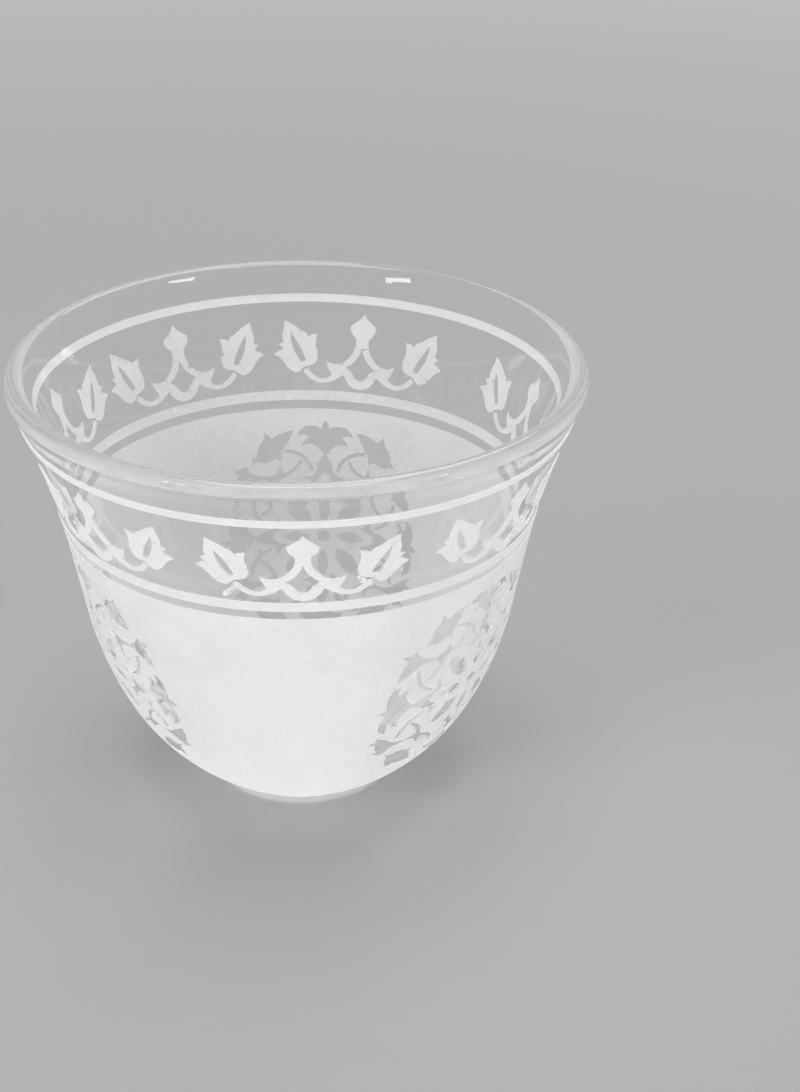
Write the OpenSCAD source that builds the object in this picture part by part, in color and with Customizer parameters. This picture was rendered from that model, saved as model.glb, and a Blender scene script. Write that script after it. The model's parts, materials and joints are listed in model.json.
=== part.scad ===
// Arabic coffee cup: a small glass without a handle, flared at the lip and round in the bowl,
// with a frosted arabesque on its outer face.
// Lengths are in mm and angles in degrees. The origin is the middle of the base, and +Z is up.

/* [Glass] */
// Height from the base to the top of the lip
cup_h = 52; // [50:0.5:58]
// Diameter across the lip
rim_d = 65; // [63:0.5:67]
// Diameter of the flat that the cup stands on
base_flat_d = 18; // [16:0.5:20]
// Thickness of the wall, which is also the width of the rounded lip
wall_t = 2.2; // [1.6:0.1:2.6]
// Thickness of the floor at its middle
floor_t = 3.5; // [2.5:0.1:5]
// Radius of the flare under the lip
flare_r = 90; // [82:1:98]
// Radius of the upper part of the bowl
bowl_r = 43.5; // [38:0.5:46]
// Radius of the edge round the base
foot_edge_r = 1.2; // [0.8:0.1:2]
// Lean of the wall from upright at the lip
lip_lean = 23.7; // [22.5:0.1:25]
// Lean of the straight part of the wall
wall_lean = 10.5; // [9.5:0.1:11.5]
// Lean at which the bowl tightens
turn_lean = 25; // [22:1:28]
// Lean at which the bowl meets the edge round the base
foot_lean = 61; // [58:1:64]

/* [Frost] */
// Thickness of the frosted layer
frost_t = 0.1; // [0.08:0.01:0.15]
// Way down the glass from the widest part of the lip to the middle of the upper line
upper_line_s = 4; // [3:0.1:5]
// Width of the upper line
upper_line_w = 1; // [0.6:0.1:1.4]
// Way down the glass from the widest part of the lip to the middle of the lower line
lower_line_s = 16.1; // [15.6:0.1:17]
// Width of the lower line
lower_line_w = 1.2; // [0.6:0.1:1.6]
// Clear gap between the lower line and the frosted field
field_gap = 1.1; // [0.6:0.1:2]
// Clear margin between the frosted field and the edge round the base
field_margin = 1.2; // [0.6:0.1:3]

/* [Frieze] */
// Height of one square of the grid that the frieze motif is drawn on
frieze_square = 1; // [0.9:0.01:1.02]
// Angle round the cup that one frieze motif takes up, from leaf tip to leaf tip
motif_angle = 45; // [42:0.5:46]
// Clear gap between the lower line and the foot of the grid
frieze_gap = 0.1; // [0.05:0.05:0.5]

/* [Medallions] */
// Side of one square of the grid that the medallion is drawn on
medallion_square = 1; // [0.8:0.01:1.02]
// Way down the glass from the top edge of the field to the middle of a medallion
medallion_drop = 15.1; // [14.6:0.1:17]
// Number of medallions, at equal steps round the cup
medallion_count = 3; // [1:1:3]
// Bearing of the first medallion from the front, towards +X
medallion_bearing = 52.4; // [0:0.1:120]

/* [Hidden] */
// Furthest that an ornament's drawn outline may lie off its curve, as a share of a grid square
bend_error_share = 0.04;
// Angle of a large arc of the profile that one straight piece stands for
arc_piece_angle = 4;
// Angle of the rounded lip, and of the edge round the base, that one piece stands for
lip_piece_angle = 15;
// Bearings of the frieze motifs from the front, laid by hand and so not quite evenly
motif_bearings = [0.5, 52, 105, 163.5, 211, 257.5, 310.5];
motifs = [0 : len(motif_bearings) - 1];
// Facets of a full turn in a preview
$fn = 180;

// The profile lies in the half plane [radius, height] and is followed from the lip down to the
// base. A face that leans by an angle has this outward normal.
function normal(lean) = [cos(lean), -sin(lean)];
lip_r = wall_t / 2;
lip_c = [rim_d / 2 - lip_r, cup_h - lip_r];
flare_c = lip_c + (lip_r + flare_r) * normal(lip_lean);
flare_p = flare_c - flare_r * normal(wall_lean);
edge_c = [base_flat_d / 2, foot_edge_r];
// The straight wall and the lower bowl take up what is left between the flare and the base.
down_wall = [-sin(wall_lean), -cos(wall_lean)];
round_bowl = normal(foot_lean) - normal(turn_lean);
left_over = edge_c + foot_edge_r * normal(foot_lean) - flare_p
    - bowl_r * (normal(turn_lean) - normal(wall_lean));
wall_len = cross(left_over, round_bowl) / cross(down_wall, round_bowl);
low_r = cross(down_wall, left_over) / cross(down_wall, round_bowl);
bowl_c = flare_p + wall_len * down_wall - bowl_r * normal(wall_lean);
low_c = bowl_c + (bowl_r - low_r) * normal(turn_lean);

// The floor of the inside is a sphere that meets the inner wall without an edge.
inner_r = bowl_r - wall_t;
floor_drop = bowl_c[1] - floor_t;
floor_r = (inner_r ^ 2 - floor_drop ^ 2 - bowl_c[0] ^ 2) / (2 * (inner_r - floor_drop));
floor_c = [0, floor_t + floor_r];
floor_lean = atan2(bowl_c[1] - floor_c[1], -bowl_c[0]);

// Points of an arc whose face goes from one lean to another. The radius is below zero where the
// centre lies on the outer side of the face.
function arc(centre, radius, from, to, piece) =
    let (n = ceil(abs(to - from) / piece))
    [for (k = [0 : n]) centre + radius * normal(from + (to - from) * k / n)];

// Outer face from the lip to the edge round the base, moved outwards by grow.
function outer_face(grow) = concat(
    arc(flare_c, grow - flare_r, lip_lean, wall_lean, arc_piece_angle),
    arc(bowl_c, bowl_r + grow, wall_lean, turn_lean, arc_piece_angle),
    arc(low_c, low_r + grow, turn_lean, foot_lean, arc_piece_angle)
);

// Inner face from the middle of the floor up to the lip.
inner_face = concat(
    arc(floor_c, floor_r, 90, floor_lean, arc_piece_angle),
    arc(bowl_c, inner_r, floor_lean, wall_lean, arc_piece_angle),
    arc(flare_c, -wall_t - flare_r, wall_lean, lip_lean, arc_piece_angle)
);

// Way down the outer face, from the widest part of the lip, at which each of its parts ends.
function arc_len(radius, turn) = radius * turn * PI / 180;
function arc_turn(radius, length) = length / radius * 180 / PI;
lip_s = arc_len(lip_r, lip_lean);
flare_s = lip_s + arc_len(flare_r, lip_lean - wall_lean);
cone_s = flare_s + wall_len;
turn_s = cone_s + arc_len(bowl_r, turn_lean - wall_lean);
foot_s = turn_s + arc_len(low_r, foot_lean - turn_lean);

// Lean and point of the outer face at a way s down it.
function lean_at(s) =
    s < flare_s ? lip_lean - arc_turn(flare_r, s - lip_s)
    : s < cone_s ? wall_lean
    : s < turn_s ? wall_lean + arc_turn(bowl_r, s - cone_s)
    : turn_lean + arc_turn(low_r, s - turn_s);
function wall_at(s) =
    s < flare_s ? flare_c - flare_r * normal(lean_at(s))
    : s < cone_s ? flare_p + (s - flare_s) * down_wall
    : s < turn_s ? bowl_c + bowl_r * normal(lean_at(s))
    : low_c + low_r * normal(lean_at(s));

// An ornament's outline is a list of points in grid squares. The first of every two lies on the
// outline, and the second pulls the bend to the next. A pull equal to its point is no bend.
function bend(a, pull, b) =
    let (n = pull == a ? 1 : ceil(sqrt(norm(a - 2 * pull + b) / 4 / bend_error_share)))
    [for (k = [0 : n - 1]) let (t = k / n)
        (1 - t) ^ 2 * a + 2 * t * (1 - t) * pull + t ^ 2 * b];
function path(shares) =
    [for (k = [0 : 2 : len(shares) - 3]) each bend(shares[k], shares[k + 1], shares[k + 2])];
function outline(shares) = path(concat(shares, [shares[0]]));
// The whole of a shape that is alike on both sides of its middle line, from its right half, which
// runs from the top of that line to its foot.
function both_sides(half_shares) =
    let (right = path(half_shares), n = len(right))
    concat(right, [half_shares[len(half_shares) - 1]],
        [for (k = [n - 1 : -1 : 1]) [-right[k][0], right[k][1]]]);

// Frieze motif, on a grid whose zero is the middle of the motif's foot.
spray_shares = [
    [0, 9.7], [0.35, 9], [0.95, 8.7], [1.35, 8.45], [1.7, 8.1], [1.75, 7.4],
    [1.25, 7], [0.8, 6.75], [0.8, 6.3], [0.8, 5], [1.7, 4.1], [2.5, 3.2],
    [3.4, 3.3], [4, 3.3], [4.5, 3.65], [4.3, 2.6], [3.7, 2.05], [4.9, 0.55],
    [6.95, 2.7], [7.35, 2.7], [7.4, 2.3], [6.3, 0.9], [4.8, 0.9], [3.5, 0.95],
    [2.2, 2.05], [1.5, 0.3], [0, 0.3]
];
spray_gap_shares = [
    [0, 5.5], [0.35, 3.8], [1.9, 2.95], [1.15, 2.6], [0.95, 2.15], [0.6, 1.4], [0, 1.4]
];
frieze_leaf_shares = [
    [10.3, 8.7], [10.2, 7.9], [10.45, 7.1], [10.45, 6.5], [10.25, 6.05], [10.5, 5.75],
    [10.85, 5.8], [10.4, 5.45], [10.2, 5.1], [10.75, 5.05], [11.35, 4.5], [10.5, 4.2],
    [10, 3.5], [9.3, 2.4], [8.4, 2.2], [7.8, 2.2], [7.3, 2.95], [6.9, 3.1],
    [6.5, 3.1], [5.75, 3.15], [5.65, 4.3], [5.7, 4.9], [6, 5.4], [6.15, 6.3],
    [5.95, 7], [6.7, 7], [7.1, 6.65], [7.4, 7.3], [7.95, 7.3], [8.9, 8.1]
];
leaf_slot_shares = [
    [7.2, 3.8], [7.9, 5.4], [9.4, 7.2], [9.4, 5.4], [7.75, 3.5], [7.3, 3.5]
];

// Medallion, on a grid whose zero is its middle. These shapes are clear glass in the frost.
fleur_shares = [
    [0, 13.65], [0.45, 13.3], [0.5, 12.6], [1.2, 13.05], [2.1, 12.95], [3.35, 12.85],
    [3.75, 11.5], [2.85, 11.95], [2.1, 11.5], [2.85, 11.15], [3.05, 10.3], [1.55, 11.15],
    [0.15, 9.2], [0.9, 8.4], [1.1, 7.1], [1.3, 6.1], [3, 6.4], [1.7, 5.9],
    [1.2, 4.9], [0.75, 6.7], [0, 6.9]
];
stem_shares = [
    [1.4, 7.05], [2.05, 9.75], [5.4, 9.95], [5.4, 9.95], [5.3, 9.4], [2.7, 9.35],
    [1.8, 6.95], [1.8, 6.95]
];
leaf_shares = [
    [4.2, 12.35], [5.9, 12.2], [7, 11.35], [7.3, 11.8], [7.95, 12.2], [7.9, 11.2],
    [8.5, 10.7], [8.95, 10.2], [8.95, 9.5], [9.2, 8.7], [9.95, 7.95], [9.2, 8.6],
    [8.7, 8.45], [7.9, 8], [7.1, 8.4], [6.2, 9], [5.75, 8.3], [5.85, 9.6],
    [5.2, 10.3], [4.6, 11.2]
];
branch_shares = [
    [3.4, 8.55], [3.95, 7.3], [5.3, 6.75], [5.7, 7.2], [5.85, 7.95], [6, 7.2],
    [6.45, 6.75], [7.3, 6.3], [8.4, 6.55], [9.6, 6.8], [10.2, 7.7], [10.35, 8.3],
    [10.8, 8], [11.3, 7.6], [12.2, 7.95], [11.9, 7.3], [11.35, 7], [12.25, 5.9],
    [12.35, 4.2], [11, 4.8], [10.3, 5.4], [9.5, 6.1], [8.2, 6], [7.2, 5.95],
    [6.75, 5.3], [7.3, 3.95], [8.55, 3.4], [8.55, 3.4], [8.35, 2.95], [6.7, 3.6],
    [5.9, 5.9], [3.6, 6.7], [2.95, 8.35], [2.95, 8.35]
];
petal_shares = [
    [1.7, 1.7], [1.6, 3.6], [3.2, 4.6], [4.3, 5.3], [4.9, 4.9], [5.3, 4.3],
    [4.6, 3.2], [3.6, 1.6]
];
bud_shares = [[0, 5.4], [0.8, 4.5], [0.75, 3.7], [0.65, 2.4], [0, 1.7]];
eye_shares = [[0, 0.8], [0.8, 0.8], [0.8, 0], [0.8, -0.8], [0, -0.8]];

// Ways to set a shape into a medallion: [swapped across the diagonal, sign of x, sign of y].
axis_ways = [[false, 1, 1], [false, 1, -1], [true, 1, 1], [true, -1, 1]];
quarter_ways = [for (x = [1, -1], y = [1, -1]) [false, x, y]];
eighth_ways = [for (swap = [false, true], x = [1, -1], y = [1, -1]) [swap, x, y]];
function set_in(p, way) = [way[1] * p[way[0] ? 1 : 0], way[2] * p[way[0] ? 0 : 1]];

// Where a point of a grid, once wrapped round the glass, is seen on the plane that touches the
// glass at the way s down it. The grid's zero lies at the way zero_s.
function wrapped(p, square, zero_s, s) =
    let (
        at = wall_at(zero_s - p[1] * square),
        turn = arc_turn(at[0], p[0] * square),
        mid = wall_at(s),
        lean = lean_at(s)
    )
    [at[0] * sin(turn), (at[0] * cos(turn) - mid[0]) * sin(lean) + (at[1] - mid[1]) * cos(lean)];

// Brings a flat shape to the plane that touches the front of the glass at the way s down it, and
// runs it through the wall.
module through_wall(s) {
    at = wall_at(s);
    translate([0, -at[0], at[1]]) rotate([90 + lean_at(s), 0, 0]) translate([0, 0, -at[0] / 2])
        linear_extrude(at[0] / 2 + wall_t) children();
}

// Layer of frost on the outer face, between two ways down it.
module frost_layer(from_s, to_s) {
    low = wall_at(to_s)[1];
    outer = outer_face(frost_t);
    inner = outer_face(0);
    rotate_extrude() intersection() {
        polygon(concat(outer, [for (k = [len(inner) - 1 : -1 : 0]) inner[k]]));
        translate([0, low]) square([rim_d, wall_at(from_s)[1] - low]);
    }
}

// The cup itself: outer face, edge round the base, flat, inner face and rounded lip.
module glass_cup() {
    color("gainsboro", 0.5) rotate_extrude() polygon(concat(
        outer_face(0),
        arc(edge_c, foot_edge_r, foot_lean, 90, lip_piece_angle),
        [[0, 0]],
        inner_face,
        arc(lip_c, -lip_r, lip_lean, 90, lip_piece_angle),
        arc(lip_c, -lip_r, 90, 180, lip_piece_angle),
        arc(lip_c, -lip_r, 180, 180 + lip_lean, lip_piece_angle)
    ));
}

// A line of frost round the cup, whose middle is at the way s down the glass.
module frost_line(s, width) {
    color("white") frost_layer(s - width / 2, s + width / 2);
}

frieze_foot_s = lower_line_s - lower_line_w / 2 - frieze_gap;
frieze_top_s = frieze_foot_s - spray_shares[0][1] * frieze_square;
frieze_mid_s = (frieze_foot_s + frieze_top_s) / 2;
// A motif is drawn out or in round the cup until its leaf tips lie motif_angle apart.
leaf_tip_share = max([for (p = frieze_leaf_shares) p[0]]);
motif_draw_share = arc_len(wall_at(frieze_mid_s)[0], motif_angle / 2) / (leaf_tip_share * frieze_square);
function frieze_point(p) =
    wrapped([p[0] * motif_draw_share, p[1]], frieze_square, frieze_foot_s, frieze_mid_s);

// One piece of a frieze motif. The outline is solid frost and the gap in it is clear.
module frieze_piece(k, shape, gap) {
    color("white") rotate(motif_bearings[k]) intersection() {
        frost_layer(frieze_top_s - frieze_square, frieze_foot_s);
        through_wall(frieze_mid_s) difference() {
            polygon([for (p = shape) frieze_point(p)]);
            polygon([for (p = gap) frieze_point(p)]);
        }
    }
}

module frieze_spray(k) {
    frieze_piece(k, both_sides(spray_shares), both_sides(spray_gap_shares));
}

// A leaf beside the spray, on its right for a side of 1 and on its left for -1.
module frieze_leaf(k, side) {
    frieze_piece(
        k,
        [for (p = outline(frieze_leaf_shares)) [side * p[0], p[1]]],
        [for (p = outline(leaf_slot_shares)) [side * p[0], p[1]]]
    );
}

field_top_s = lower_line_s + lower_line_w / 2 + field_gap;
medallion_s = field_top_s + medallion_drop;

// One shape of a medallion, set in once for each way.
module clear_shape(points, ways) {
    for (way = ways) polygon([
        for (p = points) wrapped(set_in(p, way), medallion_square, medallion_s, medallion_s)
    ]);
}

module medallion() {
    clear_shape(both_sides(fleur_shares), axis_ways);
    clear_shape(both_sides(bud_shares), axis_ways);
    clear_shape(both_sides(eye_shares), [axis_ways[0]]);
    clear_shape(outline(stem_shares), eighth_ways);
    clear_shape(outline(leaf_shares), quarter_ways);
    clear_shape(outline(branch_shares), quarter_ways);
    clear_shape(outline(petal_shares), quarter_ways);
}

// Frosted field with the medallions cut out of it. The layer's own seam is turned to a place midway
// between two medallions.
module frosted_field() {
    step = 360 / medallion_count;
    color("white") rotate(medallion_bearing) difference() {
        rotate((step - 180) / 2) frost_layer(field_top_s, foot_s - field_margin);
        for (k = [0 : medallion_count - 1]) rotate(k * step) through_wall(medallion_s) medallion();
    }
}

glass_cup();
frost_line(upper_line_s, upper_line_w);  // upper_frost_line
frost_line(lower_line_s, lower_line_w);  // lower_frost_line
for (k = motifs) {
    frieze_spray(k);
    frieze_leaf(k, -1);
    frieze_leaf(k, 1);
}
frosted_field();
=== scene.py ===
"""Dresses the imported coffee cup: a body of clear glass with skins of frost on its outer face."""
import json
import logging
import math
from dataclasses import dataclass, field
from enum import Enum
from typing import Any

import bpy
from mathutils import Matrix, Vector

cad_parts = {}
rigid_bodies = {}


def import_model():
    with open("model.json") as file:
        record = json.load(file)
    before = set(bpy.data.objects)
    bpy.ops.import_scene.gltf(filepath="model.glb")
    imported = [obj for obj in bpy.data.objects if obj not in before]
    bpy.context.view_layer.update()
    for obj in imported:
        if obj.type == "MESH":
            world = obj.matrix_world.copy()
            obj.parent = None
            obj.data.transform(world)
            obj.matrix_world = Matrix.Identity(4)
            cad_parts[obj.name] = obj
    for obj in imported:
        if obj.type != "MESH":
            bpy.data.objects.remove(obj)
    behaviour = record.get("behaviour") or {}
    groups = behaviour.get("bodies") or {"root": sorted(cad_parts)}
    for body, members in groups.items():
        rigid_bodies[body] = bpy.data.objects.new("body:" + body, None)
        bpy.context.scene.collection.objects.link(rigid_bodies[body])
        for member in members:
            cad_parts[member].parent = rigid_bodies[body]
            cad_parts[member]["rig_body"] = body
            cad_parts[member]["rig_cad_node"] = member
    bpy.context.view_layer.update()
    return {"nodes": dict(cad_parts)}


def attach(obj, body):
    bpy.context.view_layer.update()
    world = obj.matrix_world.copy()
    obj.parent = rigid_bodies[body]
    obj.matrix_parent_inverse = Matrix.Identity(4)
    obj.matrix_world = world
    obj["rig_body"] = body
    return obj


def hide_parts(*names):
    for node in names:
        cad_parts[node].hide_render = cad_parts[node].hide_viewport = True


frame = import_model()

log = logging.getLogger("coffee_cup")

MM = 0.001
PHOTO_HEIGHT_PX = 1092
HALF_TURN = 180.0
# The sRGB curve is a straight line up to its knee, and a power above it.
SRGB_KNEE = 0.04045
SRGB_SLOPE = 12.92
SRGB_OFFSET = 0.055
SRGB_POWER = 2.4
# Nearly all of a noise texture lies between these values.
NOISE_LOW = 0.3
NOISE_HIGH = 0.7


class Way(Enum):
    """Side that a face of a frosted skin looks to."""

    OUT = 1
    IN = -1


def linear(hex_colour: str) -> tuple[float, float, float, float]:
    """Turns an sRGB colour into the linear values that a shader takes.

    Args:
        hex_colour: the colour as "#RRGGBB".

    Returns:
        Red, green, blue, and 1 for the fourth value.
    """
    shades = [int(hex_colour[k : k + 2], 16) / 255 for k in (1, 3, 5)]
    red, green, blue = (
        s / SRGB_SLOPE if s <= SRGB_KNEE else ((s + SRGB_OFFSET) / (1 + SRGB_OFFSET)) ** SRGB_POWER
        for s in shades
    )
    return (red, green, blue, 1.0)


def normal(lean: float) -> Vector:
    """Outward normal, in (radius, height), of a face that leans by an angle in degrees."""
    return Vector((math.cos(math.radians(lean)), -math.sin(math.radians(lean))))


def cross(a: Vector, b: Vector) -> float:
    """Cross product of two flat vectors."""
    return a.x * b.y - a.y * b.x


def deselect_all() -> None:
    """Leaves object mode with nothing selected."""
    if bpy.context.object and bpy.context.object.mode != "OBJECT":
        bpy.ops.object.mode_set(mode="OBJECT")
    bpy.ops.object.select_all(action="DESELECT")


def make_active(piece: bpy.types.Object) -> None:
    """Selects one object alone and makes it the active one.

    Args:
        piece: the object.
    """
    deselect_all()
    piece.select_set(True)
    bpy.context.view_layer.objects.active = piece


@dataclass
class Profile:
    """Outline of the glass in the half plane (radius, height), in millimetres and degrees.

    It is followed from the lip down the outer face to the base, and up the inner face again.
    """

    height: float = 52.0
    rim_diameter: float = 65.0
    base_flat: float = 18.0
    wall: float = 2.2
    floor: float = 3.5
    flare_radius: float = 90.0
    bowl_radius: float = 43.5
    foot_edge: float = 1.2
    lip_lean: float = 23.7
    wall_lean: float = 10.5
    turn_lean: float = 25.0
    foot_lean: float = 61.0
    longest_step: float = 0.9
    least_steps: int = 6

    def __post_init__(self) -> None:
        """Works out the arcs' centres, the straight wall and the lower bowl."""
        self.lip_radius = self.wall / 2
        self.lip_centre = Vector(
            (self.rim_diameter / 2 - self.lip_radius, self.height - self.lip_radius)
        )
        reach = self.lip_radius + self.flare_radius
        self.flare_centre = self.lip_centre + reach * normal(self.lip_lean)
        flare_foot = self.flare_centre - self.flare_radius * normal(self.wall_lean)
        self.edge_centre = Vector((self.base_flat / 2, self.foot_edge))
        lean = math.radians(self.wall_lean)
        down = Vector((-math.sin(lean), -math.cos(lean)))
        turn = normal(self.foot_lean) - normal(self.turn_lean)
        left = self.edge_centre + self.foot_edge * normal(self.foot_lean) - flare_foot
        left -= self.bowl_radius * (normal(self.turn_lean) - normal(self.wall_lean))
        wall_length = cross(left, turn) / cross(down, turn)
        self.low_radius = cross(down, left) / cross(down, turn)
        wall_foot = flare_foot + wall_length * down
        self.bowl_centre = wall_foot - self.bowl_radius * normal(self.wall_lean)
        step = self.bowl_radius - self.low_radius
        self.low_centre = self.bowl_centre + step * normal(self.turn_lean)
        inner = self.bowl_radius - self.wall
        drop = self.bowl_centre.y - self.floor
        self.floor_radius = (inner**2 - drop**2 - self.bowl_centre.x**2) / (2 * (inner - drop))
        self.floor_centre = Vector((0.0, self.floor + self.floor_radius))
        self.floor_lean = math.degrees(
            math.atan2(self.bowl_centre.y - self.floor_centre.y, -self.bowl_centre.x)
        )
        self.flare_foot = flare_foot
        self.wall_foot = wall_foot
        self.bowl_foot = self.bowl_centre + self.bowl_radius * normal(self.turn_lean)

    def arc(self, centre: Vector, radius: float, start: float, end: float) -> list[Vector]:
        """Points of an arc whose face goes from one lean to another.

        Args:
            centre: the arc's centre.
            radius: its radius, below zero where the centre lies on the outer side of the face.
            start: the lean at the first point.
            end: the lean at the last point.

        Returns:
            The points, both ends included.
        """
        length = abs(radius * math.radians(end - start))
        steps = max(self.least_steps, math.ceil(length / self.longest_step))
        return [
            centre + radius * normal(start + (end - start) * k / steps) for k in range(steps + 1)
        ]

    def loop(self) -> list[Vector]:
        """Draws the whole outline, from the middle of the base round to the middle of the floor.

        Returns:
            The outline's points, in order.
        """
        # Leans of a face that looks straight down, and of one that looks in at the axis.
        level, upright = 90.0, 180.0
        inner_flare = self.wall + self.flare_radius
        inner_bowl = self.bowl_radius - self.wall
        arcs = [
            [Vector((0.0, 0.0))],
            self.arc(self.edge_centre, self.foot_edge, level, self.foot_lean),
            self.arc(self.low_centre, self.low_radius, self.foot_lean, self.turn_lean),
            self.arc(self.bowl_centre, self.bowl_radius, self.turn_lean, self.wall_lean),
            self.arc(self.flare_centre, -self.flare_radius, self.wall_lean, self.lip_lean),
            self.arc(self.lip_centre, -self.lip_radius, upright + self.lip_lean, upright),
            self.arc(self.lip_centre, -self.lip_radius, upright, level),
            self.arc(self.lip_centre, -self.lip_radius, level, self.lip_lean),
            self.arc(self.flare_centre, -inner_flare, self.lip_lean, self.wall_lean),
            self.arc(self.bowl_centre, inner_bowl, self.wall_lean, self.floor_lean),
            self.arc(self.floor_centre, self.floor_radius, self.floor_lean, level),
        ]
        points: list[Vector] = []
        for arc in arcs:
            points += arc[1:] if points and (arc[0] - points[-1]).length < MM else arc
        return points

    def outer_radius(self, height: float, grow: float) -> float:
        """Radius of the outer face, moved outwards by a distance, at a height.

        Args:
            height: the height above the base.
            grow: how far the face is moved outwards.

        Returns:
            The radius.
        """
        if height > self.flare_foot.y:
            reach = self.flare_radius - grow
            return self.flare_centre.x - math.sqrt(reach**2 - (height - self.flare_centre.y) ** 2)
        if height > self.wall_foot.y:
            lean = math.radians(self.wall_lean)
            spread = (height - self.wall_foot.y) * math.tan(lean)
            return self.wall_foot.x + spread + grow / math.cos(lean)
        if height > self.bowl_foot.y:
            reach = self.bowl_radius + grow
            return self.bowl_centre.x + math.sqrt(reach**2 - (height - self.bowl_centre.y) ** 2)
        reach = self.low_radius + grow
        return self.low_centre.x + math.sqrt(reach**2 - (height - self.low_centre.y) ** 2)


@dataclass
class Nodes:
    """A material's node tree, filled node by node."""

    tree: bpy.types.NodeTree

    def add(
        self, kind: str, settings: dict[str, Any] | None = None, **inputs: Any
    ) -> bpy.types.Node:
        """Adds a node with its settings and links.

        Args:
            kind: the node's type name, without its "ShaderNode" prefix.
            settings: the node's own properties.
            **inputs: a value or an output socket for each input. The input is named with
                underscores for its spaces, or numbered, as in i0.

        Returns:
            The node.
        """
        node = self.tree.nodes.new("ShaderNode" + kind)
        for name, value in (settings or {}).items():
            setattr(node, name, value)
        for name, value in inputs.items():
            numbered = name[0] == "i" and name[1:].isdigit()
            key = int(name[1:]) if numbered else name.replace("_", " ")
            if isinstance(value, bpy.types.NodeSocket):
                self.tree.links.new(value, node.inputs[key])
            else:
                node.inputs[key].default_value = value
        return node


def new_material(name: str) -> tuple[bpy.types.Material, Nodes]:
    """A material with an empty node tree.

    Args:
        name: what the material is, and how its surface was made.

    Returns:
        The material and its nodes.
    """
    material = bpy.data.materials.new(name)
    material.use_nodes = True
    material.node_tree.nodes.clear()
    return material, Nodes(material.node_tree)


@dataclass(frozen=True)
class ClearGlass:
    """Soda-lime glass, pressed in a mould and fire-polished.

    It is clear and nearly smooth. Fire-polishing leaves slow waves that bend its highlights.
    """

    tint: str = "#FCFCFC"
    shade: str = "#F4F4F4"
    # Painted light: colour of the pale sheet on which a ray trapped in the wall ends.
    painted_wall_light: str = "#DADADA"
    roughness: float = 0.02
    ior: float = 1.52
    wave_mm: float = 14.0
    wave_depth_mm: float = 0.02
    wave_detail: float = 1.0
    deepest: int = 4
    far_share: float = 0.5

    def material(self) -> bpy.types.Material:
        """Builds the material.

        Returns:
            The material.
        """
        material, nodes = new_material("soda_lime_glass_fire_polished")
        place = nodes.add("TexCoord").outputs["Object"]
        scale = 1 / (self.wave_mm * MM)
        waves = nodes.add("TexNoise", Vector=place, Scale=scale, Detail=self.wave_detail)
        rise = self.wave_depth_mm * MM
        bump = nodes.add("Bump", Height=waves.outputs["Fac"], Distance=rise, Strength=1.0)
        glass = nodes.add(
            "BsdfPrincipled",
            Base_Color=linear(self.tint),
            Roughness=self.roughness,
            IOR=self.ior,
            Transmission_Weight=1.0,
            Normal=bump.outputs["Normal"],
        )
        # Light from the lamps goes straight through, as it does through a thin clear wall. A ray
        # that the glass has turned many times ends on a pale matt sheet. This is painted light:
        # the sheet stands in for the light that the wall carries along and lets out.
        through = nodes.add("BsdfTransparent", Color=linear(self.shade))
        path = nodes.add("LightPath")
        turns = path.outputs["Ray Depth"]
        caught = nodes.add("Math", {"operation": "GREATER_THAN"}, i0=turns, i1=self.deepest)
        near = nodes.add("BsdfDiffuse", Color=linear(self.painted_wall_light))
        far = nodes.add("BsdfTranslucent", Color=linear(self.painted_wall_light))
        painted_light_sheet = nodes.add("MixShader", i0=self.far_share, i1=near.outputs[0], i2=far.outputs[0])
        seen = nodes.add(
            "MixShader", i0=caught.outputs[0], i1=glass.outputs[0], i2=painted_light_sheet.outputs[0]
        )
        shadow = path.outputs["Is Shadow Ray"]
        mix = nodes.add("MixShader", i0=shadow, i1=seen.outputs[0], i2=through.outputs[0])
        nodes.add("OutputMaterial", Surface=mix.outputs[0])
        return material


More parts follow.
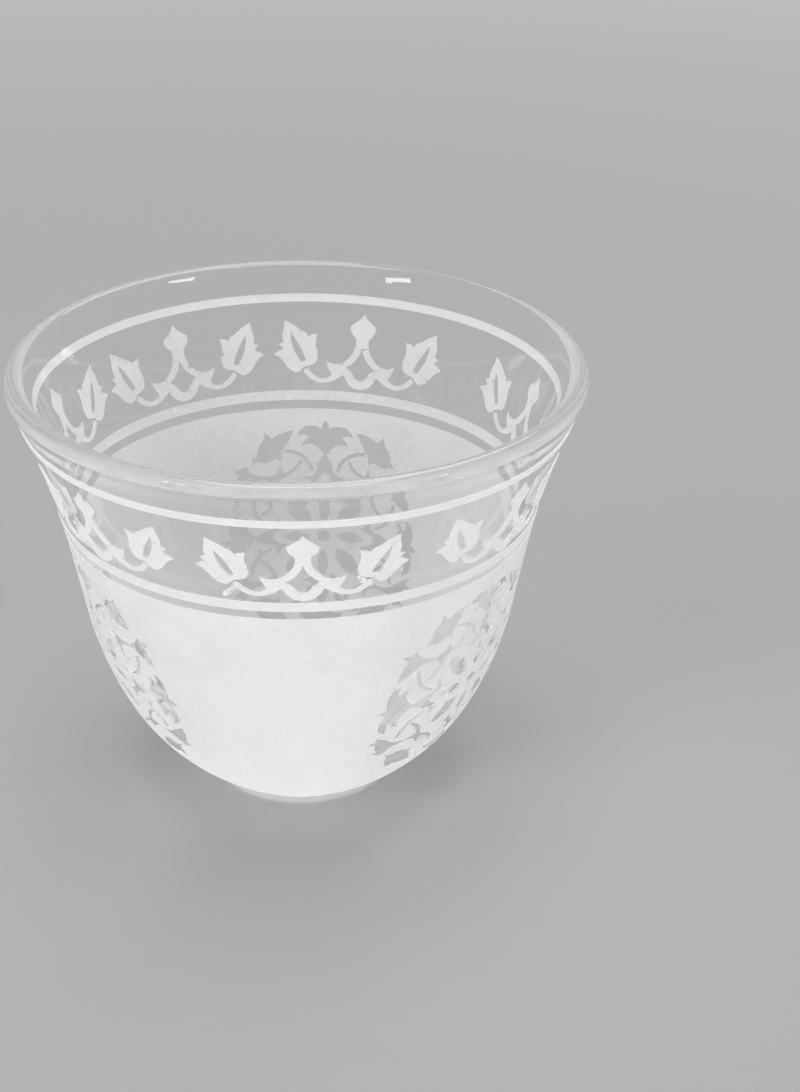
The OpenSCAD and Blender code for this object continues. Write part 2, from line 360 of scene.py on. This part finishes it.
@dataclass(frozen=True)
class Frost:
    """Outer skin of the glass, roughened by acid or fine grit.

    It is white and matt, lets scattered light through, and has a fine even grain.
    """

    tint: str = "#FBFBFA"
    glow: str = "#F9F9F8"
    roughness: float = 0.6
    sheen: float = 0.5
    share_through: float = 0.4
    share_onward: float = 0.3
    grain_mm: float = 0.35
    grain_depth_mm: float = 0.03
    grain_detail: float = 2.0
    grain_least: float = 0.94
    cloud_mm: float = 7.0
    cloud_detail: float = 3.0
    cloud_least: float = 0.95

    def material(self) -> bpy.types.Material:
        """Builds the material.

        Returns:
            The material.
        """
        material, nodes = new_material("glass_frosted_by_etching")
        place = nodes.add("TexCoord").outputs["Object"]
        # The real grain is finer than a render shows, so it is drawn as coarse as it needs to be.
        grain, cloud = (
            nodes.add("TexNoise", Vector=place, Scale=1 / (size * MM), Detail=detail)
            for size, detail in (
                (self.grain_mm, self.grain_detail),
                (self.cloud_mm, self.cloud_detail),
            )
        )
        rise = self.grain_depth_mm * MM
        bump = nodes.add("Bump", Height=grain.outputs["Fac"], Distance=rise, Strength=1.0)
        specks, patches = (
            nodes.add(
                "MapRange",
                Value=noise.outputs["Fac"],
                From_Min=NOISE_LOW,
                From_Max=NOISE_HIGH,
                To_Min=least,
                To_Max=1.0,
            ).outputs[0]
            for noise, least in ((grain, self.grain_least), (cloud, self.cloud_least))
        )
        depth = nodes.add("Math", {"operation": "MULTIPLY"}, i0=specks, i1=patches)
        shades = [
            nodes.add(
                "Mix",
                {"data_type": "RGBA", "blend_type": "MULTIPLY"},
                i0=1.0,
                i6=linear(colour),
                i7=depth.outputs[0],
            ).outputs[2]
            for colour in (self.tint, self.glow)
        ]
        matt = nodes.add(
            "BsdfPrincipled",
            Base_Color=shades[0],
            Roughness=self.roughness,
            Sheen_Weight=self.sheen,
            Normal=bump.outputs["Normal"],
        )
        glow = nodes.add("BsdfTranslucent", Color=shades[1], Normal=bump.outputs["Normal"])
        frost = nodes.add(
            "MixShader", i0=self.share_through, i1=matt.outputs[0], i2=glow.outputs[0]
        )
        # Etched glass throws much of its light forward, so part of the lamps' light goes on
        # through it.
        shadow = nodes.add("LightPath").outputs["Is Shadow Ray"]
        onward = nodes.add("Math", {"operation": "MULTIPLY"}, i0=shadow, i1=self.share_onward)
        clear = nodes.add("BsdfTransparent")
        skin = nodes.add(
            "MixShader", i0=onward.outputs[0], i1=frost.outputs[0], i2=clear.outputs[0]
        )
        nodes.add("OutputMaterial", Surface=skin.outputs[0])
        return material


@dataclass(frozen=True)
class FrostRoot:
    """Inner face of a frosted skin, which is one with the clear glass and shows nothing."""

    def material(self) -> bpy.types.Material:
        """Builds the material.

        Returns:
            The material.
        """
        material, nodes = new_material("frost_grown_into_the_glass")
        clear = nodes.add("BsdfTransparent")
        nodes.add("OutputMaterial", Surface=clear.outputs[0])
        return material


@dataclass
class GlassBody:
    """The cup's one piece of clear glass, spun from its profile."""

    profile: Profile
    finish: ClearGlass = ClearGlass()
    turns: int = 192
    merge_mm: float = 0.002

    def build(self) -> bpy.types.Object:
        """Draws the profile by extruding one vertex, spins it and closes it at the axis.

        Returns:
            The finished piece.
        """
        deselect_all()
        bpy.ops.mesh.primitive_plane_add(size=MM)
        piece = bpy.context.object
        piece.name = "clear_glass_body"
        piece.data.name = piece.name
        bpy.ops.object.mode_set(mode="EDIT")
        bpy.ops.mesh.select_all(action="SELECT")
        bpy.ops.mesh.merge(type="CENTER")
        points = [Vector((p.x, 0.0, p.y)) * MM for p in self.profile.loop()]
        for before, after in zip(points, points[1:]):
            bpy.ops.mesh.extrude_region_move(TRANSFORM_OT_translate={"value": after - before})
        bpy.ops.mesh.select_all(action="SELECT")
        bpy.ops.mesh.spin(steps=self.turns, angle=math.tau, center=(0, 0, 0), axis=(0, 0, 1))
        bpy.ops.mesh.select_all(action="SELECT")
        bpy.ops.mesh.remove_doubles(threshold=self.merge_mm * MM)
        bpy.ops.mesh.normals_make_consistent(inside=False)
        bpy.ops.object.mode_set(mode="OBJECT")
        bpy.ops.object.shade_smooth()
        piece.data.materials.append(self.finish.material())
        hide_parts("glass_cup")
        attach(piece, "root")
        return piece


@dataclass
class FrostSkins:
    """The frosted patches, each a thin skin on the outer face of the glass."""

    profile: Profile
    finish: Frost = Frost()
    root: FrostRoot = FrostRoot()
    # Heights of a skin's outer and inner face above the glass.
    top_mm: float = 0.1
    root_mm: float = 0.015
    # How far above and below a face's centre the lean of the glass is measured.
    probe_mm: float = 0.015
    # Points that are closer than this are one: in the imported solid, and in the cut sheet.
    merge_mm: float = 0.0005
    sliver_mm: float = 0.003
    # Squares that a sheet is cut into, up the wall and round it.
    step_mm: float = 1.0
    step_degrees: float = 2.0
    sharp_degrees: float = 40.0
    # A face looks out where its normal is at least this near to the glass's own.
    least_likeness: float = 0.5
    materials: list[bpy.types.Material] = field(default_factory=list)

    def facing(self, face: bpy.types.MeshPolygon) -> Way:
        """Tells which way a face of a packed skin looks.

        Args:
            face: the face.

        Returns:
            Out of the glass, or into it or along it.
        """
        centre = face.center
        out = Vector((centre.x, centre.y, 0)).normalized()
        low = self.profile.outer_radius(centre.z / MM - self.probe_mm, 0.0)
        high = self.profile.outer_radius(centre.z / MM + self.probe_mm, 0.0)
        lean = math.atan2(high - low, 2 * self.probe_mm)
        outward = out * math.cos(lean) - Vector((0, 0, math.sin(lean)))
        return Way.OUT if face.normal.dot(outward) > self.least_likeness else Way.IN

    def outer_sheet(self, node: str) -> bpy.types.Object:
        """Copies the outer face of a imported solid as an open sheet.

        Args:
            node: the solid's name.

        Returns:
            The sheet.
        """
        piece = frame["nodes"][node].copy()
        piece.data = piece.data.copy()
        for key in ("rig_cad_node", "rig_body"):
            del piece[key]
        piece.parent = None
        piece.name = node + "_skin"
        piece.data.name = piece.name
        bpy.context.scene.collection.objects.link(piece)
        make_active(piece)
        bpy.ops.object.mode_set(mode="EDIT")
        bpy.ops.mesh.select_all(action="SELECT")
        bpy.ops.mesh.remove_doubles(threshold=self.merge_mm * MM)
        bpy.ops.mesh.select_mode(type="FACE")
        bpy.ops.mesh.select_all(action="DESELECT")
        bpy.ops.object.mode_set(mode="OBJECT")
        for face in piece.data.polygons:
            face.select = self.facing(face) is Way.IN
        bpy.ops.object.mode_set(mode="EDIT")
        bpy.ops.mesh.delete(type="FACE")
        bpy.ops.object.mode_set(mode="OBJECT")
        return piece

    def cut(self, plane_point: Vector, plane_normal: Vector) -> None:
        """Cuts the sheet in edit mode where a plane crosses it."""
        bpy.ops.mesh.select_all(action="SELECT")
        bpy.ops.mesh.bisect(plane_co=plane_point, plane_no=plane_normal)

    def cut_in_squares(self, piece: bpy.types.Object) -> None:
        """Cuts a sheet into small squares, so that it can follow the round of the glass.

        Args:
            piece: the sheet.
        """
        heights = [v.co.z for v in piece.data.vertices]
        lines = range(
            math.ceil(min(heights) / (self.step_mm * MM)),
            math.floor(max(heights) / (self.step_mm * MM)) + 1,
        )
        angles = {
            round(math.degrees(math.atan2(v.co.y, v.co.x)) / self.step_degrees)
            for v in piece.data.vertices
        }
        halves = round(HALF_TURN / self.step_degrees)
        spokes = sorted({(a + k) % halves for a in angles for k in (-1, 0, 1)})
        if len(angles) > halves / 2:
            spokes = list(range(halves))
        make_active(piece)
        bpy.ops.object.mode_set(mode="EDIT")
        for line in lines:
            self.cut(Vector((0, 0, line * self.step_mm * MM)), Vector((0, 0, 1)))
        for spoke in spokes:
            angle = math.radians(spoke * self.step_degrees)
            self.cut(Vector((0, 0, 0)), Vector((-math.sin(angle), math.cos(angle), 0)))
        bpy.ops.mesh.select_all(action="SELECT")
        bpy.ops.mesh.remove_doubles(threshold=self.sliver_mm * MM)
        bpy.ops.object.mode_set(mode="OBJECT")

    def build_one(self, node: str) -> bpy.types.Object:
        """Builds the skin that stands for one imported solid.

        Args:
            node: the solid's name.

        Returns:
            The finished piece.
        """
        piece = self.outer_sheet(node)
        self.cut_in_squares(piece)
        for vertex in piece.data.vertices:
            reach = self.profile.outer_radius(vertex.co.z / MM, self.top_mm) * MM
            ratio = reach / math.hypot(vertex.co.x, vertex.co.y)
            vertex.co = Vector((vertex.co.x * ratio, vertex.co.y * ratio, vertex.co.z))
        piece.data.materials.clear()
        for material in self.materials:
            piece.data.materials.append(material)
        make_active(piece)
        # The sheet thickens towards the glass, and its inner face takes the second material.
        solid = piece.modifiers.new("thickness", "SOLIDIFY")
        solid.thickness = (self.top_mm - self.root_mm) * MM
        solid.offset = -1
        solid.material_offset = 1
        bpy.ops.object.modifier_apply(modifier=solid.name)
        bpy.ops.object.shade_smooth_by_angle(angle=math.radians(self.sharp_degrees))
        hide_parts(node)
        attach(piece, "root")
        return piece

    def build(self) -> list[bpy.types.Object]:
        """Builds every skin.

        Returns:
            The finished pieces.
        """
        self.materials = [self.finish.material(), self.root.material()]
        nodes = [node for node in sorted(frame["nodes"]) if node != "glass_cup"]
        return [self.build_one(node) for node in nodes]


def seen_by_eye(nodes: Nodes) -> bpy.types.NodeSocket:
    """Makes the output that tells what the camera sees from light that only falls on things.

    Args:
        nodes: the tree that needs the output.

    Returns:
        The output: 1 for what is seen straight, in a reflection or through glass, and 0 otherwise.
    """
    path = nodes.add("LightPath")
    shows = path.outputs["Is Camera Ray"]
    for ray in ("Is Glossy Ray", "Is Transmission Ray"):
        either = nodes.add("Math", {"operation": "MAXIMUM"}, i0=shows, i1=path.outputs[ray])
        shows = either.outputs[0]
    return shows


@dataclass(frozen=True)
class SoftBox:
    """A soft lamp that shines at the cup, with its lengths in metres and its power in watts."""

    name: str
    place: tuple[float, float, float]
    width: float
    height: float
    power: float
    glints: bool = True
    aim_height: float = 0.03

    def hang(self) -> None:
        """Hangs the lamp with its width level."""
        data = bpy.data.lights.new(self.name, "AREA")
        data.shape = "RECTANGLE"
        data.size = self.width
        data.size_y = self.height
        data.energy = self.power
        lamp = bpy.data.objects.new(self.name, data)
        bpy.context.scene.collection.objects.link(lamp)
        lamp.visible_glossy = self.glints
        lamp.visible_transmission = self.glints
        place = Vector(self.place)
        turn = (Vector((0.0, 0.0, self.aim_height)) - place).to_track_quat("-Z", "Y")
        lamp.matrix_world = Matrix.Translation(place) @ turn.to_matrix().to_4x4()


@dataclass
class Studio:
    """Floor, lamps and camera. Lengths are in metres and angles in radians."""

    floor_size: float = 6.0
    floor_roughness: float = 0.8
    air_gap: float = 0.0001
    floor_colour: str = "#A8A9AA"
    fade_start: float = 0.15
    fade_end: float = 0.55
    sky_colour: str = "#C4C5C6"
    sky_strength: float = 0.7
    soft_boxes: tuple[SoftBox, ...] = (
        SoftBox("top_soft_box", (0.0, 0.05, 0.85), 0.5, 0.5, 2.5),
        SoftBox("back_soft_box", (0.15, 0.45, 0.7), 0.4, 0.4, 1.5),
        SoftBox("key_soft_box", (-0.5, -0.5, 0.48), 0.35, 0.35, 0.9, glints=False),
        SoftBox("right_soft_box", (0.6, -0.4, 0.1), 0.4, 0.15, 2.0, glints=False),
        SoftBox("left_soft_box", (-0.65, -0.35, 0.1), 0.4, 0.15, 1.7, glints=False),
        SoftBox("front_soft_box", (0.0, -0.75, 0.12), 0.4, 0.15, 1.0, glints=False),
        SoftBox("right_strip", (0.58, -0.42, 0.43), 0.16, 0.05, 0.25),
        SoftBox("left_strip", (-0.55, -0.5, 0.4), 0.16, 0.05, 0.25),
    )
    focal_px: float = 2202.0
    sensor_mm: float = 36.0
    clip_start: float = 0.01
    camera_place: Vector = field(default_factory=lambda: Vector((0.0, -0.2273, 0.1482)))
    pan: float = 0.0512
    tilt: float = 0.4850
    roll: float = 0.0095

    def floor(self) -> None:
        """Lays a plain pale floor under the cup, which takes the tone of the room far off."""
        deselect_all()
        # A glass touches a table at a few points only, and light turns back at the thin air
        # between them.
        bpy.ops.mesh.primitive_plane_add(size=self.floor_size, location=(0, 0, -self.air_gap))
        bpy.ops.object.transform_apply()
        floor = bpy.context.object
        floor.name = "floor"
        material, nodes = new_material("floor_of_painted_board")
        colour = linear(self.floor_colour)
        board = nodes.add("BsdfPrincipled", Base_Color=colour, Roughness=self.floor_roughness)
        place = nodes.add("TexCoord").outputs["Object"]
        away = nodes.add("VectorMath", {"operation": "LENGTH"}, i0=place).outputs["Value"]
        fade = nodes.add(
            "MapRange",
            {"interpolation_type": "SMOOTHSTEP"},
            Value=away,
            From_Min=self.fade_start,
            From_Max=self.fade_end,
        )
        eye = seen_by_eye(nodes)
        share = nodes.add("Math", {"operation": "MULTIPLY"}, i0=fade.outputs[0], i1=eye)
        room = nodes.add("Emission", Color=linear(self.sky_colour), Strength=1.0)
        mix = nodes.add("MixShader", i0=share.outputs[0], i1=board.outputs[0], i2=room.outputs[0])
        nodes.add("OutputMaterial", Surface=mix.outputs[0])
        floor.data.materials.append(material)

    def sky(self) -> None:
        """Sets the light and the pale surroundings that come from all round."""
        world = bpy.data.worlds.new("pale_room")
        bpy.context.scene.world = world
        world.use_nodes = True
        world.node_tree.nodes.clear()
        nodes = Nodes(world.node_tree)
        seen = nodes.add("Background", Color=linear(self.sky_colour), Strength=1.0)
        light = nodes.add(
            "Background", Color=linear(self.sky_colour), Strength=self.sky_strength
        )
        eye = seen_by_eye(nodes)
        mix = nodes.add("MixShader", i0=eye, i1=light.outputs[0], i2=seen.outputs[0])
        nodes.add("OutputWorld", Surface=mix.outputs[0])

    def camera(self) -> None:
        """Sets the camera where the photograph was taken from."""
        data = bpy.data.cameras.new("camera")
        data.sensor_width = self.sensor_mm
        data.lens = self.sensor_mm * self.focal_px / PHOTO_HEIGHT_PX
        data.clip_start = self.clip_start
        camera = bpy.data.objects.new("camera", data)
        bpy.context.scene.collection.objects.link(camera)
        ahead = Vector((
            math.sin(self.pan) * math.cos(self.tilt),
            math.cos(self.pan) * math.cos(self.tilt),
            -math.sin(self.tilt),
        ))
        level = Vector((math.cos(self.pan), -math.sin(self.pan), 0.0))
        above = level.cross(ahead)
        right = math.cos(self.roll) * level + math.sin(self.roll) * above
        up = math.cos(self.roll) * above - math.sin(self.roll) * level
        turn = Matrix((right, up, -ahead)).transposed()
        camera.matrix_world = Matrix.Translation(self.camera_place) @ turn.to_4x4()
        bpy.context.scene.camera = camera

    def build(self) -> None:
        """Sets the whole stage."""
        self.camera()
        self.floor()
        self.sky()
        for soft_box in self.soft_boxes:
            soft_box.hang()
        bpy.context.scene.view_settings.view_transform = "Standard"


def main() -> None:
    """Builds the stage, the glass and the frost, and reports each piece."""
    logging.basicConfig(level=logging.INFO, format="%(name)s: %(message)s")
    Studio().build()
    profile = Profile()
    pieces = [GlassBody(profile).build(), *FrostSkins(profile).build()]
    deselect_all()
    for piece in pieces:
        log.info("%s has %d faces", piece.name, len(piece.data.polygons))


if __name__ == "__main__":
    main()
